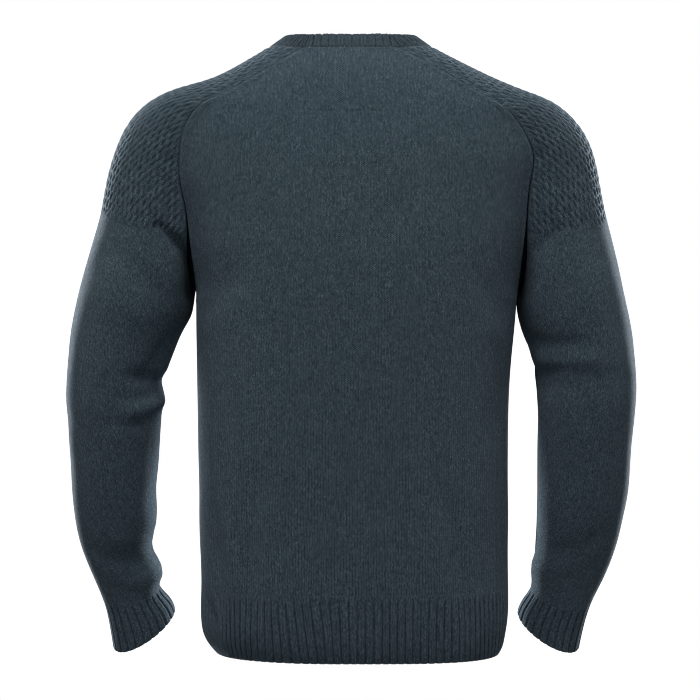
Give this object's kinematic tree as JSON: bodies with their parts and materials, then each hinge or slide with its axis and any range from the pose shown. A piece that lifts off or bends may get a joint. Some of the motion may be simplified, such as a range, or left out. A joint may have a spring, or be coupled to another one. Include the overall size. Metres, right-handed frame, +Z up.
{
  "type": "v-neck sweater",
  "caption": "Long-sleeved knitted sweater, filled out as worn, with saddle shoulders, a textured yoke, a V neck, and a ribbed neckband, hem and cuffs.",
  "frame": {"origin": "in the neck opening, on the middle line, level with the seam of the back neck and between front and back", "axes": "+Z up, -Y the way the wearer faces, +X the wearer's left"},
  "size_m": [0.6392, 0.2546, 0.6966],
  "materials": {
    "heather_knit": "stockinette in heathered dark teal-grey wool, matt, and a staggered raised stitch in the same wool on the yokes",
    "ribbed_knit": "rib in the same wool"
  },
  "bodies": {
    "root": {"back": "heather_knit", "front": "heather_knit", "yoke_left": "heather_knit", "yoke_right": "heather_knit", "sleeve_left": "heather_knit", "sleeve_right": "heather_knit", "neckband": "ribbed_knit", "hem_back": "ribbed_knit", "hem_front": "ribbed_knit", "cuff_left": "ribbed_knit", "cuff_right": "ribbed_knit"}
  },
  "joints": []
}
